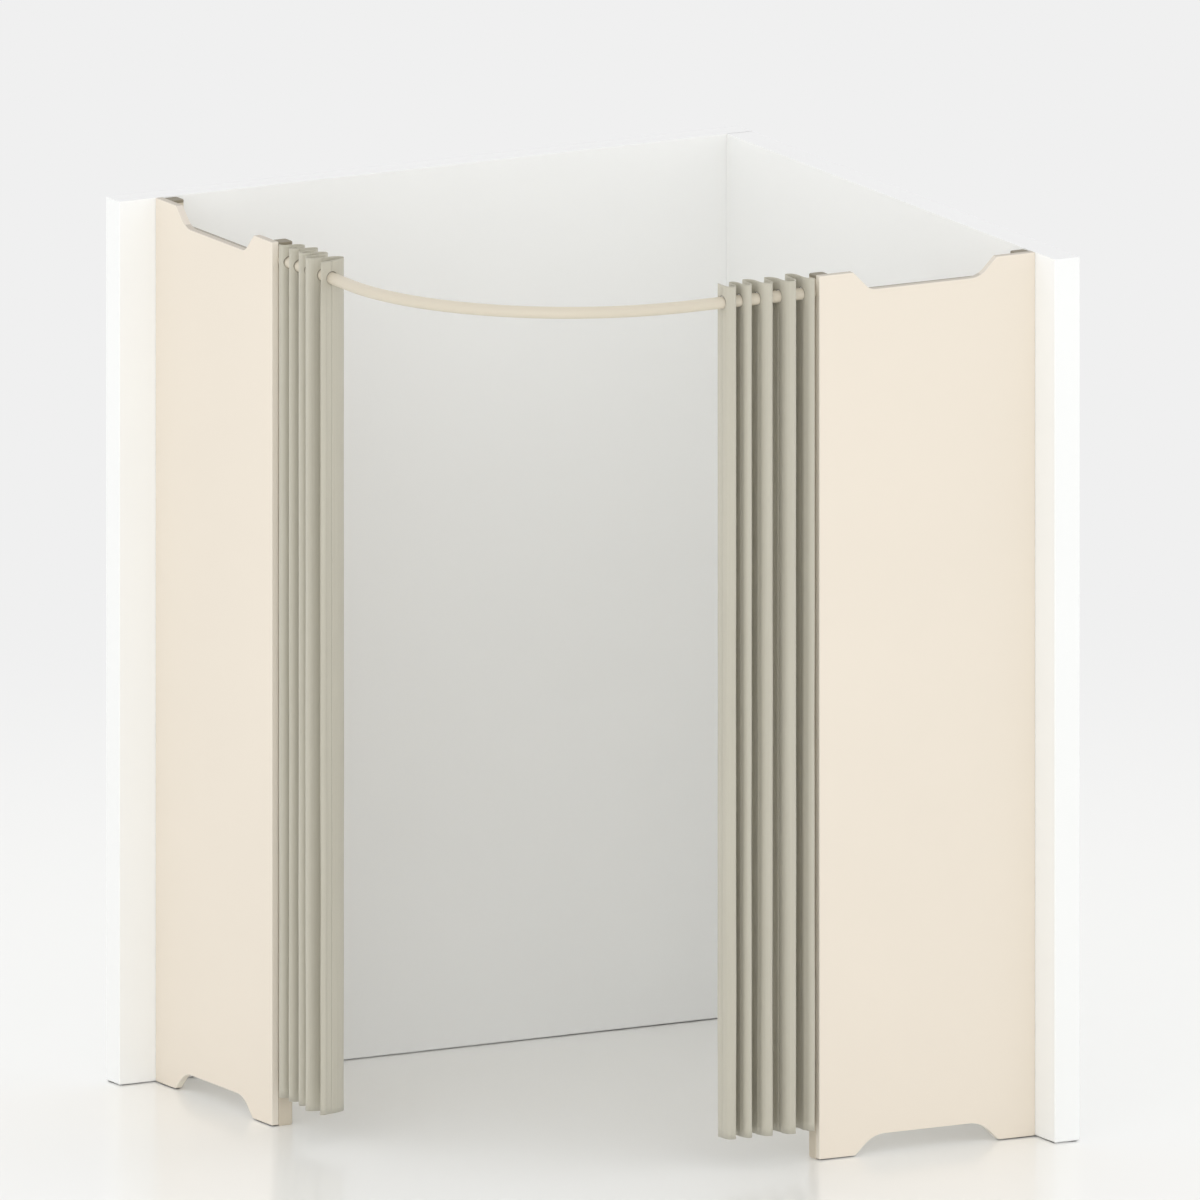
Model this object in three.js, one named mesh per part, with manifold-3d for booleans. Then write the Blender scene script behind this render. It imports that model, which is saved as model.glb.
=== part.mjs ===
// Portable corner fitting room: two white partition walls, two notched side boards on posts,
// and two curtains gathered on a curved rail. Millimetres, +Z up, origin on the floor in the middle
// of the booth's square plan. The back wall stands at +Y and the side wall at +X.
//
// The booth is alike on both sides of its diagonal, so each side is built in its own axes:
// x runs out from the wall that the side board stands on (0 is that wall's inner face),
// y runs along that wall from the inner corner of the booth, and z is height.

import * as THREE from "three";
import { mergeVertices } from "three/addons/utils/BufferGeometryUtils.js";
import Module from "manifold-3d";

const wasm = await Module();
wasm.setup();

// Overall sizes
const height = 2200;
const wallLength = 1680; // from the inner corner to the wall's free end
const wallThickness = 70;
const wallOverrun = 100; // the walls run on past the side boards
const boardWidth = 597;
const boardThickness = 18;
const postSize = 40;

// Clearances
const seat = 0.3; // between pieces that bear on each other
const jointGap = 1; // shadow line between a side board and its posts
const overrun = 5; // how far a cutter runs past the piece it cuts

// Partition walls
const skinThickness = 4;
const frameRail = 60; // top and bottom rails of the wall frame
const cornerStile = 60;
const stileMargin = 31; // how far the stile at the free end runs on past the post
const endStile = wallOverrun + boardThickness + jointGap + postSize + stileMargin;
const coreSheet = 2;
const corePitch = 120;

// Corner bolts that draw the side wall to the back wall
const boltShank = 4; // radius
const boltHead = 9; // radius
const boltHeadThickness = 5;
const boltSink = 2; // from the back wall's outer face to the top of a head
const boltStop = 15; // of the side wall's stile left past a bolt's point
const boltInset = 300; // from the floor and from the top

// Side boards
const topFrontEar = 94;
const topWallEar = 106;
const topNotchDepth = 47;
const topFrontRadius = 32;
const topWallRadius = 62;
const bottomEar = 100;
const bottomNotchDepth = 50;
const bottomNotchRadius = 80;

// Posts
const postWall = 2;
const postOuterCorner = 2;
const postInnerCorner = 8;
const capThickness = 7;
const capDrop = 3; // the cap's top lies this far below the board's top
const capPlug = 18;
const capClearance = 0.4;

// Tie bar between the two posts of a side, level with the notch
const tieThickness = 8;
const tieHeight = 40;

// Curtain rail
const railRadius = 14.7;
const railWall = 2;
const railOffset = 8; // from the middle of the posts outwards to the rail's axis
const railStraight = 352; // from a front post to the start of the bend
const railDrop = 46; // from the booth's top down to the rail's axis
const spigotGap = 0.4; // between the rail's bore and a spigot
const spigotLength = 34;
const spigotRecessDepth = 9; // of the recess for the screw's head

// Curtains: each is one cloth folded to and fro across the rail
const clothThickness = 2;
const clothRise = 44; // from the rail's axis to the cloth's top
const hemHeight = 76; // from the floor to the cloth's lower edge
const foldReach = 46; // from the rail's axis to the deepest turning point
const foldGap = 0.4; // between neighbouring folds
const foldLead = 1; // straight run along the rail at each turning point
const holeSlack = 2.3; // of the hole's radius over the rail's
const hangGap = 0.4; // from the rail's top to the hole's edge
const leftEndPower = 2.2; // the last swing turns square to the rail early, and more so with a higher power
const rightEndPower = 6;
// The folds' turning points. The first number is a share of the rail's straight stretch, from the post,
// and the second a share of the folds' reach, positive outside the booth.
const leftCrestShares = [
  [0.057, 0.48],
  [0.153, -0.63],
  [0.214, 0.5],
  [0.277, -0.89],
  [0.362, 0.52],
  [0.442, -0.8],
  [0.537, 0.83],
  [0.625, -1],
  [0.721, 0.72],
];
const rightCrestShares = [
  [0.043, 0.74],
  [0.146, -0.91],
  [0.213, 0.89],
  [0.329, -0.67],
  [0.383, 0.72],
  [0.497, -0.74],
  [0.541, 0.67],
  [0.616, -0.52],
  [0.6625, 0.63],
  [0.716, -0.48],
];

// Screws
const headTopShare = 0.6; // of a head's radius at its top
const screwShank = 2; // radius
const screwHead = 4.5; // radius
const screwHeadThickness = 3;
const screwClearance = 0.4;
const boardStop = 6; // of the side board left past a screw's point
const wallStop = 32; // of the wall left past a screw's point
const boardScrewInset = 260; // from the floor and from the top
const screwSpread = 80; // in height between a board screw and the wall screw beside it
const spigotScrewShank = 3; // radius
const spigotScrewHead = 6; // radius
const spigotScrewHeadThickness = 5;
const spigotScrewBite = 14; // how far it reaches into the post

// Worked out from the sizes above
const cornerPlace = (wallLength + wallThickness) / 2 - wallThickness;
const boardOuter = wallLength - wallOverrun;
const boardInner = boardOuter - boardThickness;
const postOuter = boardInner - jointGap;
const postInner = postOuter - postSize;
const postMiddle = (postOuter + postInner) / 2;
const capTop = height - capDrop;
const postTop = capTop - capThickness - seat;
const railLine = postMiddle + railOffset;
const railBend = railLine - boardWidth - railStraight;
const railHeight = height - railDrop;
const clothTop = railHeight + clothRise;
const notchFloor = height - topNotchDepth;
const boardBite = boardThickness - boardStop;
const wallBite = wallThickness - wallStop;
const boltGrip = cornerStile - boltStop;
const boltRecess = boltHeadThickness + boltSink;
const slope = Math.PI / 4;

// Faces on a round piece and steps on a bend
const roundSides = 16;
const railSides = 20;
const cornerSteps = 4;
const notchSteps = 6;
const bendSteps = 30;
const foldSteps = 10;

const paint = (color, roughness, metalness = 0) => new THREE.MeshStandardMaterial({ color, roughness, metalness });
const wallWhite = paint(0xf4f4f2, 0.45);
const framePaint = paint(0xeeeeeb, 0.6);
const corePaper = paint(0xb99f78, 0.9);
const boardCream = paint(0xf0e4d2, 0.5);
const postCream = paint(0xe3d9c5, 0.45, 0.1);
const capBrown = paint(0x8f8a7c, 0.6);
const railCream = paint(0xded3bb, 0.4, 0.1);
const cloth = paint(0xcbc7b6, 0.95);
const zinc = paint(0xb8babd, 0.35, 0.9);

const booth = new THREE.Group();
const leftSide = new THREE.Group();
leftSide.position.set(cornerPlace, cornerPlace, 0);
leftSide.rotation.z = Math.PI / 2;
leftSide.scale.x = -1;
const rightSide = new THREE.Group();
rightSide.position.set(cornerPlace, cornerPlace, 0);
rightSide.rotation.z = Math.PI;
booth.add(leftSide, rightSide);
const sides = [
  ["left", leftSide, leftCrestShares, leftEndPower],
  ["right", rightSide, rightCrestShares, rightEndPower],
];

function add(group, name, geometry, material) {
  const mesh = new THREE.Mesh(geometry, material);
  mesh.name = name;
  group.add(mesh);
}

// Joining and cutting closed meshes
function solidOf(geometry) {
  const bare = new THREE.BufferGeometry();
  bare.setAttribute("position", geometry.getAttribute("position").clone());
  bare.setIndex(geometry.getIndex());
  const merged = mergeVertices(bare);
  return new wasm.Manifold(
    new wasm.Mesh({
      numProp: 3,
      vertProperties: merged.attributes.position.array,
      triVerts: new Uint32Array(merged.index.array),
    }),
  );
}

function geometryOf(solid) {
  const mesh = solid.getMesh();
  const geometry = new THREE.BufferGeometry();
  geometry.setAttribute("position", new THREE.BufferAttribute(new Float32Array(mesh.vertProperties), 3));
  geometry.setIndex(new THREE.BufferAttribute(new Uint32Array(mesh.triVerts), 1));
  geometry.computeVertexNormals();
  return geometry;
}

const cut = (geometry, cutters) =>
  geometryOf(cutters.reduce((solid, cutter) => solid.subtract(solidOf(cutter)), solidOf(geometry)));
const join = (first, second) => geometryOf(solidOf(first).add(solidOf(second)));

// A block from its low and high faces along each axis
function block([x0, x1], [y0, y1], [z0, z1]) {
  const geometry = new THREE.BoxGeometry(x1 - x0, y1 - y0, z1 - z0);
  return geometry.translate((x0 + x1) / 2, (y0 + y1) / 2, (z0 + z1) / 2);
}

// A round bar along x or along y
function barAlongX(radius, [x0, x1], y, z, faces = roundSides) {
  const geometry = new THREE.CylinderGeometry(radius, radius, x1 - x0, faces);
  return geometry.rotateZ(-Math.PI / 2).translate((x0 + x1) / 2, y, z);
}

function barAlongY(radius, x, [y0, y1], z, faces = roundSides) {
  const geometry = new THREE.CylinderGeometry(radius, radius, y1 - y0, faces);
  return geometry.translate(x, (y0 + y1) / 2, z);
}

// A flat outline extruded: standing up its y is height and it grows along +y, lying down it grows along z
function standing(outline, y0, y1) {
  const options = { depth: y1 - y0, bevelEnabled: false, curveSegments: notchSteps };
  return new THREE.ExtrudeGeometry(outline, options).rotateX(Math.PI / 2).translate(0, y1, 0);
}

function upwards(outline, z0, z1) {
  const options = { depth: z1 - z0, bevelEnabled: false, curveSegments: cornerSteps };
  return new THREE.ExtrudeGeometry(outline, options).translate(0, 0, z0);
}

// Walls

// The frame is a ring: a stile at the corner, a wide stile at the free end and a rail above and below.
function wallFrame(start) {
  const outline = new THREE.Shape();
  outline.moveTo(start, 0);
  outline.lineTo(wallLength, 0);
  outline.lineTo(wallLength, height);
  outline.lineTo(start, height);
  outline.closePath();
  const window = new THREE.Path();
  window.moveTo(cornerStile, frameRail);
  window.lineTo(cornerStile, height - frameRail);
  window.lineTo(wallLength - endStile, height - frameRail);
  window.lineTo(wallLength - endStile, frameRail);
  window.closePath();
  outline.holes.push(window);
  const depth = wallThickness - 2 * skinThickness - 2 * seat;
  const geometry = new THREE.ExtrudeGeometry(outline, { depth, bevelEnabled: false });
  // x of the outline runs along the wall and y runs up
  return geometry.rotateX(Math.PI / 2).rotateZ(Math.PI / 2).translate(-wallThickness + skinThickness + seat, 0, 0);
}

// The core is one folded sheet that zigzags between the two skins.
function wallCore() {
  const near = -skinThickness - seat - coreSheet;
  const far = -wallThickness + skinThickness + seat + coreSheet;
  const start = cornerStile + seat + coreSheet;
  const end = wallLength - endStile - seat - coreSheet;
  const runs = Math.max(2, Math.round((end - start) / (corePitch / 2)));
  const run = (end - start) / runs;
  const line = Array.from({ length: runs + 1 }, (_, k) => new THREE.Vector2(k % 2 ? far : near, start + k * run));
  return upwards(ribbon(line, coreSheet), frameRail + seat, height - frameRail - seat);
}

// A closed outline of even thickness round a line, its ends cut square
function ribbon(line, thickness) {
  const along = line.map((point, k) => {
    const before = line[Math.max(k - 1, 0)];
    const after = line[Math.min(k + 1, line.length - 1)];
    return after.clone().sub(before).normalize();
  });
  const edge = (side) =>
    line.map((point, k) => new THREE.Vector2(-along[k].y, along[k].x).multiplyScalar((side * thickness) / 2).add(point));
  return new THREE.Shape([...edge(1), ...edge(-1).reverse()]);
}

const wallScrewInset = boardScrewInset + screwSpread;
const wallScrewHeights = [wallScrewInset, height - wallScrewInset];
const boardScrewHeights = [boardScrewInset, height - boardScrewInset];
const boltHeights = [boltInset, height / 2, height - boltInset];
const boltPlace = -wallThickness / 2;

for (const [side, group] of sides) {
  const isBack = side === "left";
  const name = isBack ? "back_wall" : "side_wall";
  // The back wall runs on behind the end of the side wall.
  const start = isBack ? -wallThickness : seat;
  const wallHoles = wallScrewHeights.map((z) =>
    barAlongX(screwShank + screwClearance, [-wallBite - overrun, overrun], postMiddle, z),
  );
  const boltHoles = boltHeights.flatMap((z) =>
    isBack
      ? [
          barAlongX(boltShank + screwClearance, [-wallThickness - overrun, overrun], boltPlace, z),
          barAlongX(boltHead + screwClearance, [-wallThickness - overrun, -wallThickness + boltRecess], boltPlace, z),
        ]
      : [barAlongY(boltShank + screwClearance, boltPlace, [-overrun, boltGrip + overrun], z)],
  );
  const innerSkin = block([-skinThickness, 0], [start, wallLength], [0, height]);
  const outerSkin = block([-wallThickness, -wallThickness + skinThickness], [start, wallLength], [0, height]);
  add(group, `${name}_inner_skin`, cut(innerSkin, isBack ? [...wallHoles, ...boltHoles] : wallHoles), wallWhite);
  add(group, `${name}_outer_skin`, isBack ? cut(outerSkin, boltHoles) : outerSkin, wallWhite);
  add(group, `${name}_frame`, cut(wallFrame(start), [...wallHoles, ...boltHoles]), framePaint);
  add(group, `${name}_core`, wallCore(), corePaper);
}

// A bolt or screw stands along +y from the underside of its head at 0.
function fastener(shank, head, headThickness, length) {
  const profile = [
    new THREE.Vector2(0, -headThickness),
    new THREE.Vector2(head * headTopShare, -headThickness),
    new THREE.Vector2(head, -headThickness / 2),
    new THREE.Vector2(head, 0),
    new THREE.Vector2(shank, 0),
    new THREE.Vector2(shank, length - shank),
    new THREE.Vector2(0, length),
  ];
  return new THREE.LatheGeometry(profile, roundSides);
}

boltHeights.forEach((z, k) => {
  const underHead = -wallThickness + boltRecess - seat;
  const bolt = fastener(boltShank, boltHead, boltHeadThickness, boltGrip - underHead);
  bolt.rotateZ(-Math.PI / 2).translate(underHead, boltPlace, z);
  add(leftSide, `corner_bolt_${k + 1}`, bolt, zinc);
});

// Side boards

// Each end of a notch falls away at 45 degrees from the ear and runs into the notch's floor on an arc.
function boardOutline() {
  const outline = new THREE.Shape();
  const front = boardWidth;
  outline.moveTo(seat, 0);
  outline.lineTo(bottomEar, 0);
  const bottomReach = bottomEar + bottomNotchDepth + runOut(bottomNotchRadius);
  notchArc(outline, bottomReach, bottomNotchDepth, bottomNotchRadius, -1, -1);
  notchArc(outline, front - bottomReach, bottomNotchDepth, bottomNotchRadius, -1, 1);
  outline.lineTo(front - bottomEar, 0);
  outline.lineTo(front, 0);
  outline.lineTo(front, height);
  outline.lineTo(front - topFrontEar, height);
  const frontReach = topFrontEar + topNotchDepth + runOut(topFrontRadius);
  const wallReach = topWallEar + topNotchDepth + runOut(topWallRadius);
  notchArc(outline, front - frontReach, notchFloor, topFrontRadius, 1, 1);
  notchArc(outline, wallReach, notchFloor, topWallRadius, 1, -1);
  outline.lineTo(topWallEar, height);
  outline.lineTo(seat, height);
  outline.closePath();
  return outline;
}

// How far an arc runs along the notch's floor past the corner that it rounds
const runOut = (radius) => radius * Math.tan(slope / 2);

// up is 1 where the notch opens upwards, and side is the side of the notch that the arc is on.
// A run that starts at the ear ends at the floor, and a run that starts at the floor ends at the ear.
function notchArc(outline, x, floor, radius, up, side) {
  const middle = floor + up * radius;
  const atFloor = (-up * Math.PI) / 2;
  const atSlope = atFloor + up * side * slope;
  const startsAtEar = up === side;
  const [from, to] = startsAtEar ? [atSlope, atFloor] : [atFloor, atSlope];
  outline.absarc(x, middle, radius, from, to, startsAtEar === up * side > 0);
}

for (const [side, group] of sides) {
  const postPlaces = [postSize / 2 + seat, boardWidth - postSize / 2];
  const holes = postPlaces.flatMap((x) =>
    boardScrewHeights.map((z) =>
      barAlongY(screwShank + screwClearance, x, [boardInner - overrun, boardInner + boardBite + screwClearance], z),
    ),
  );
  add(group, `${side}_side_board`, cut(standing(boardOutline(), boardInner, boardOuter), holes), boardCream);
}

// Posts: square tubes whose two corners beside the board are crisp and whose other two are round

function postOutline(inset, target) {
  const half = postSize / 2 - inset;
  const crisp = Math.max(postOuterCorner - inset, seat);
  const round = Math.max(postInnerCorner - inset, seat);
  target.moveTo(-half + round, -half);
  target.lineTo(half - round, -half);
  target.absarc(half - round, -half + round, round, -Math.PI / 2, 0, false);
  target.lineTo(half, half - crisp);
  target.absarc(half - crisp, half - crisp, crisp, 0, Math.PI / 2, false);
  target.lineTo(-half + crisp, half);
  target.absarc(-half + crisp, half - crisp, crisp, Math.PI / 2, Math.PI, false);
  target.lineTo(-half, -half + round);
  target.absarc(-half + round, -half + round, round, Math.PI, (Math.PI * 3) / 2, false);
  return target;
}

function postTube() {
  const outline = postOutline(0, new THREE.Shape());
  outline.holes.push(postOutline(postWall, new THREE.Path()));
  return upwards(outline, 0, postTop);
}

function postCap() {
  const lid = upwards(postOutline(0, new THREE.Shape()), capTop - capThickness, capTop);
  const plug = upwards(postOutline(postWall + capClearance, new THREE.Shape()), postTop - capPlug, capTop - overrun);
  return join(lid, plug);
}

const screwHole = screwShank + screwClearance;

for (const [side, group] of sides) {
  const places = { wall: postSize / 2 + seat, front: boardWidth - postSize / 2 };
  for (const [end, x] of Object.entries(places)) {
    const cutters = boardScrewHeights.map((z) =>
      barAlongY(screwHole, x, [postInner - overrun, postOuter + overrun], z),
    );
    if (end === "wall")
      cutters.push(
        ...wallScrewHeights.map((z) => barAlongX(screwHole, [-overrun, postSize + overrun], postMiddle, z)),
      );
    else
      cutters.push(
        barAlongX(spigotScrewShank + screwClearance, [x, boardWidth + overrun], railLine, railHeight),
      );
    const tube = postTube().translate(x, postMiddle, 0);
    add(group, `${side}_${end}_post`, cut(tube, cutters), postCream);
    add(group, `${side}_${end}_post_cap`, postCap().translate(x, postMiddle, 0), capBrown);
    boardScrewHeights.forEach((z, k) => {
      const length = postSize + jointGap + boardBite;
      const screw = fastener(screwShank, screwHead, screwHeadThickness, length);
      add(group, `${side}_${end}_board_screw_${k + 1}`, screw.translate(x, postInner - seat, z), zinc);
    });
  }
  wallScrewHeights.forEach((z, k) => {
    const length = postSize + seat + wallBite;
    const screw = fastener(screwShank, screwHead, screwHeadThickness, length);
    screw.rotateZ(Math.PI / 2).translate(postSize + seat + seat, postMiddle, z);
    add(group, `${side}_wall_screw_${k + 1}`, screw, zinc);
  });
  const tie = block(
    [postSize + seat + seat, boardWidth - postSize - seat],
    [boardInner - seat - tieThickness, boardInner - seat],
    [notchFloor - tieHeight, notchFloor],
  );
  add(group, `${side}_tie_bar`, tie, postCream);
}

// Curtain rail: straight from each post, then a quarter bend

class RailLine extends THREE.Curve {
  getPoint(t, target = new THREE.Vector3()) {
    const place = t * (bendSteps + 2);
    const centre = railLine - railBend;
    const from = boardWidth + seat;
    if (place <= 1) return target.set(from + (centre - from) * place, railLine, railHeight);
    if (place >= bendSteps + 1) return target.set(railLine, centre + (from - centre) * (place - bendSteps - 1), railHeight);
    const turn = ((place - 1) / bendSteps) * (Math.PI / 2);
    return target.set(centre + railBend * Math.sin(turn), centre + railBend * Math.cos(turn), railHeight);
  }
  getPointAt(t, target) {
    return this.getPoint(t, target);
  }
  getTangentAt(t, target = new THREE.Vector3()) {
    const bent = Math.min(Math.max((t * (bendSteps + 2) - 1) / bendSteps, 0), 1);
    const turn = bent * (Math.PI / 2);
    return target.set(Math.cos(turn), -Math.sin(turn), 0);
  }
}

const tubeSection = new THREE.Shape().absarc(0, 0, railRadius, 0, 2 * Math.PI, false);
tubeSection.holes.push(new THREE.Path().absarc(0, 0, railRadius - railWall, 0, 2 * Math.PI, true));
const railOptions = { steps: bendSteps + 2, curveSegments: railSides / 2, extrudePath: new RailLine(), bevelEnabled: false };
add(leftSide, "curtain_rail", new THREE.ExtrudeGeometry(tubeSection, railOptions), railCream);

// Each end of the rail slides over a turned spigot that is screwed to the post.
function spigot() {
  const outer = railRadius - railWall - spigotGap;
  const bore = spigotScrewShank + screwClearance;
  const recess = spigotScrewHead + screwClearance;
  const recessFloor = spigotLength - spigotRecessDepth;
  const profile = [
    new THREE.Vector2(bore, 0),
    new THREE.Vector2(outer, 0),
    new THREE.Vector2(outer, spigotLength),
    new THREE.Vector2(recess, spigotLength),
    new THREE.Vector2(recess, recessFloor),
    new THREE.Vector2(bore, recessFloor),
    new THREE.Vector2(bore, 0),
  ];
  return new THREE.LatheGeometry(profile, roundSides);
}

for (const [side, group] of sides) {
  const turned = spigot().rotateZ(-Math.PI / 2).translate(boardWidth + seat, railLine, railHeight);
  add(group, `${side}_rail_spigot`, turned, zinc);
  const length = spigotLength - spigotRecessDepth + seat + spigotScrewBite;
  const screw = fastener(spigotScrewShank, spigotScrewHead, spigotScrewHeadThickness, length);
  const underHead = boardWidth + spigotLength - spigotRecessDepth + seat + seat;
  screw.rotateZ(Math.PI / 2).translate(underHead, railLine, railHeight);
  add(group, `${side}_rail_screw`, screw, zinc);
}

// Curtains

// One fold swings from one turning point to the next: its distance from the rail follows half a cosine
// wave, and its progress along the rail slows to nothing halfway, or at the free end towards its end.
const slowHalfway = (t) => t + Math.sin(2 * Math.PI * t) / (2 * Math.PI);
const slowToEnd = (power) => (t) => 1 - (1 - t) ** power;

function foldLine([s0, out0], [s1, out1], progress) {
  const start = s0 + foldGap / 2 + foldLead;
  const end = s1 - foldGap / 2 - foldLead;
  const point = (station, out) => new THREE.Vector2(boardWidth + station, railLine + out);
  const swing = Array.from({ length: foldSteps + 1 }, (_, k) => {
    const t = k / foldSteps;
    const across = (1 - Math.cos(Math.PI * t)) / 2;
    return point(start + (end - start) * progress(t), out0 + (out1 - out0) * across);
  });
  const leadOut = progress === slowHalfway ? [point(end + foldLead, out1)] : [];
  return [point(start - foldLead, out0), ...swing, ...leadOut];
}

function fold(first, second, progress) {
  const sheet = upwards(ribbon(foldLine(first, second, progress), clothThickness), hemHeight, clothTop);
  const reach = [boardWidth + first[0] - overrun, boardWidth + second[0] + overrun];
  const holeRadius = railRadius + holeSlack;
  const hole = barAlongX(holeRadius, reach, railLine, railHeight - holeSlack + hangGap, railSides);
  return cut(sheet, [hole]);
}

for (const [side, group, crestShares, endPower] of sides) {
  const crests = crestShares.map(([along, out]) => [along * railStraight, out * foldReach]);
  const last = crests.length - 1;
  crests.slice(1).forEach((crest, k) => {
    const progress = k + 1 === last ? slowToEnd(endPower) : slowHalfway;
    add(group, `${side}_curtain_fold_${k + 1}`, fold(crests[k], crest, progress), cloth);
  });
}

export default booth;
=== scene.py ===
# %% [markdown]
# # A portable corner fitting room
#
# Two white partition walls meet at a corner. A notched cream board runs out from each of them and is
# held by two square posts, and a bent rail between the front posts carries two gathered curtains.
# The construction is already there as plain solids. This lesson dresses it: it gives every visible
# piece its rounded edges, its folds and its finish, and then lights it like a studio picture.
#
# Everything is in metres. +Z is up, the back wall stands at +Y and the side wall at +X.

# %% Load the frame
import math

import bmesh
import bpy
import numpy as np
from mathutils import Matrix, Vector


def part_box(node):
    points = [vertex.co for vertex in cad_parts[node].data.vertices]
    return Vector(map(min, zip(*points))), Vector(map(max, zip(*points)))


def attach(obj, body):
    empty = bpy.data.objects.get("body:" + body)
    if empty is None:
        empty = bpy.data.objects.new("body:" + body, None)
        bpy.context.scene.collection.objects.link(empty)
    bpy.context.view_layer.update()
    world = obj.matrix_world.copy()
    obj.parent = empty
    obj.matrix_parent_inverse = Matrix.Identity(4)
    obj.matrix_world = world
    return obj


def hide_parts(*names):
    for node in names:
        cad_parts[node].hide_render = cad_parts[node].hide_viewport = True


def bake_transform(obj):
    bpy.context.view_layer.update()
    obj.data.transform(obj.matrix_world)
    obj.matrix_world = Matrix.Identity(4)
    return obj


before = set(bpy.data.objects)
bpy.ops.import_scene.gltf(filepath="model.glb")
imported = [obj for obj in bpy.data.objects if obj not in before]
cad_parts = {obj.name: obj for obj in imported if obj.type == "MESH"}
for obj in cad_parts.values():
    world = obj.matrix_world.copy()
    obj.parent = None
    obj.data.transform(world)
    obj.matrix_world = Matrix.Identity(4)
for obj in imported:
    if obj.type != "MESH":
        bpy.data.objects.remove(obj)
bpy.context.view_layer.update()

# %% [markdown]
# ## Places
#
# The solids say where each piece is, so the places are read from their boxes. Both sides of the booth
# mirror each other across its diagonal. Every side piece is therefore worked out once, in plan
# coordinates of its own: "along" runs from the wall that carries the board towards the entrance, and
# "out" runs from the middle of the booth outwards. A small table turns them into X and Y.

# %% Name the places
MM = 0.001


def limits(node):
    """The lowest and highest corner of a solid, as two arrays."""
    low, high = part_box(node)
    return np.array(low), np.array(high)


height = limits("back_wall_inner_skin")[1][2]
board_low, board_high = limits("right_side_board")
board_outer = -board_low[1]
board_inner = -board_high[1]
board_front = board_low[0]
rail_low, rail_high = limits("curtain_rail")
rail_radius = (rail_high[2] - rail_low[2]) / 2
rail_axis_z = (rail_high[2] + rail_low[2]) / 2
rail_axis_out = -rail_low[1] - rail_radius
print("height", round(height, 3), "board front", round(board_front, 4), "rail axis", round(rail_axis_out, 4))

SIDES = ("left", "right")


def in_room(side, along, out, z):
    """Plan coordinates of one side into X, Y and Z. "along" is 0 at the board's front edge and grows
    towards the entrance, and "out" is measured outwards from the middle of the booth."""
    along, out, z = np.broadcast_arrays(along, out, z)
    across, deep = -out, board_front - along
    return np.stack((across, deep, z) if side == "left" else (deep, across, z), axis=-1)


# %% [markdown]
# ## Camera
#
# In the picture upright and receding lines stay parallel, so the camera has no perspective. It
# stands to the left of the open corner and looks down a little. It could be turned by eye until the
# picture fits. Here its turn, tilt and width were fitted to the picture's lines, so they aren't round.

# %% Set the camera
VIEW_TURN = math.radians(-28.37)
VIEW_TILT = math.radians(11.96)
VIEW_SPAN = 2.9205
VIEW_CENTRE = Vector((0.0426, 0.0426, 1.2589))
VIEW_BACK = 12.0

camera_data = bpy.data.cameras.new("camera")
camera_data.type = "ORTHO"
camera_data.ortho_scale = VIEW_SPAN
camera_data.clip_end = 100
camera = bpy.data.objects.new("camera", camera_data)
backwards = Vector(
    (
        math.sin(VIEW_TURN) * math.cos(VIEW_TILT),
        -math.cos(VIEW_TURN) * math.cos(VIEW_TILT),
        math.sin(VIEW_TILT),
    )
)
camera.location = VIEW_CENTRE + backwards * VIEW_BACK
camera.rotation_euler = backwards.to_track_quat("Z", "Y").to_euler()
bpy.context.scene.collection.objects.link(camera)
bpy.context.scene.camera = camera
bpy.context.scene.view_settings.view_transform = "Standard"
print("camera at", tuple(round(x, 2) for x in camera.location))

# %% [markdown]
# ## Shader expressions
#
# Node graphs are easier to read as sums and products. `Signal` wraps a socket and turns `+`, `-` and `*`
# into Math nodes. `Graph` is a node tree, and its `node` method adds any other node. `Finish` is the
# graph of one material. The nodes could be placed and linked one by one, but then a pattern's formula
# would be hard to see.


# %% Write the signal
class Signal:
    """A value on its way through a shader."""

    def __init__(self, graph, socket):
        self.graph = graph
        self.socket = socket

    def math(self, operation, *values):
        return self.graph.node("Math", {"operation": operation}, *values)

    def __add__(self, other):
        return self.math("ADD", self, other)

    def __sub__(self, other):
        return self.math("SUBTRACT", self, other)

    def __rsub__(self, other):
        return self.math("SUBTRACT", other, self)

    def __mul__(self, other):
        return self.math("MULTIPLY", self, other)

    def wave(self, length):
        """A sine of this value, between -1 and 1, that repeats every length."""
        return self.math("SINE", self * (2 * math.pi / length))

    def above(self, edge, soft):
        """0 below edge, 1 above it, with a soft step between."""
        settings = {"interpolation_type": "SMOOTHSTEP"}
        return self.graph.node("MapRange", settings, self, edge - soft / 2, edge + soft / 2)

    __radd__ = __add__
    __rmul__ = __mul__


print("a signal knows +, - and *, and the functions wave and above")


# %% Write the graph and the finish
class Graph:
    """A node tree, fed by expressions."""

    def __init__(self, tree):
        self.tree = tree

    def feed(self, socket, value):
        """Links a signal to a socket, or writes a number or a colour on it."""
        if isinstance(value, Signal):
            self.tree.links.new(value.socket, socket)
        else:
            socket.default_value = value

    def node(self, kind, settings, *inputs, output=0, **named):
        """Adds a node: its settings first, then its sockets by position or by name. None leaves the
        socket at its position as it is."""
        made = self.tree.nodes.new("ShaderNode" + kind)
        for key, value in settings.items():
            setattr(made, key, value)
        for k, value in enumerate(inputs):
            if value is not None:
                self.feed(made.inputs[k], value)
        for key, value in named.items():
            self.feed(made.inputs[key.replace("_", " ")], value)
        return Signal(self, made.outputs[output])


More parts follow.
